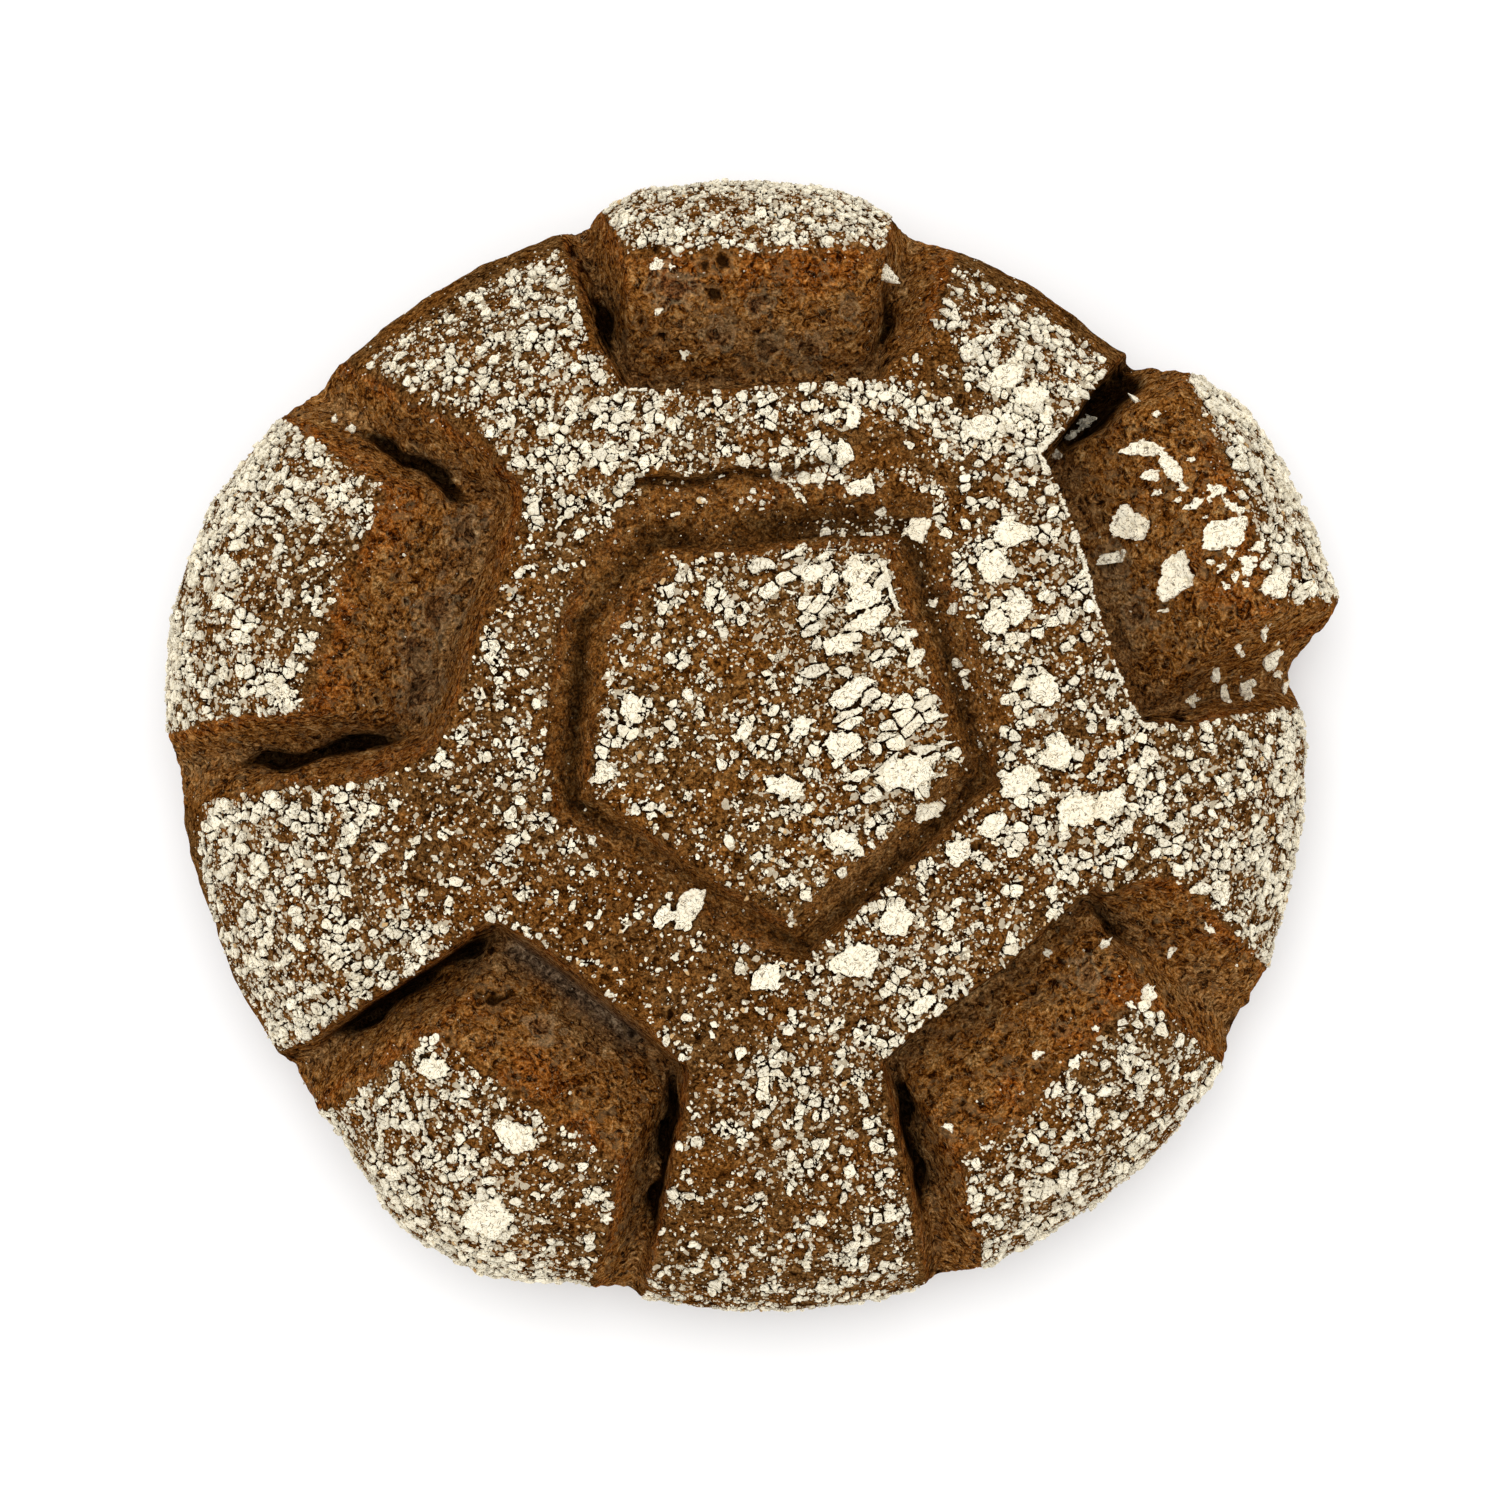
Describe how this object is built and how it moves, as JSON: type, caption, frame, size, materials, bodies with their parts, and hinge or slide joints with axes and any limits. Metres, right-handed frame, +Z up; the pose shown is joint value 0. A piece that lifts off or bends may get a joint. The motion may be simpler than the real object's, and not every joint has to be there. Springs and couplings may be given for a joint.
{
  "type": "gluten-free bread loaf",
  "caption": "Round dark brown bread loaf, stamped with a pentagonal island and raised blocks round the rim, dusted with cracked white flour; it rests on its flat base.",
  "frame": {"origin": "centre of the loaf's box on the surface that it stands on", "axes": "+Z up; seen from above, +X to the right and +Y to the top of the picture"},
  "size_m": [0.1936, 0.187, 0.0581],
  "materials": {
    "crust": "dark brown baked crust, matt, rough and porous where it has torn open, with a thin broken layer of flour on the top",
    "flour": "dry cream-white flour, matt, cracked into flakes and specks"
  },
  "bodies": {
    "root": {"loaf": "crust"}
  },
  "joints": []
}
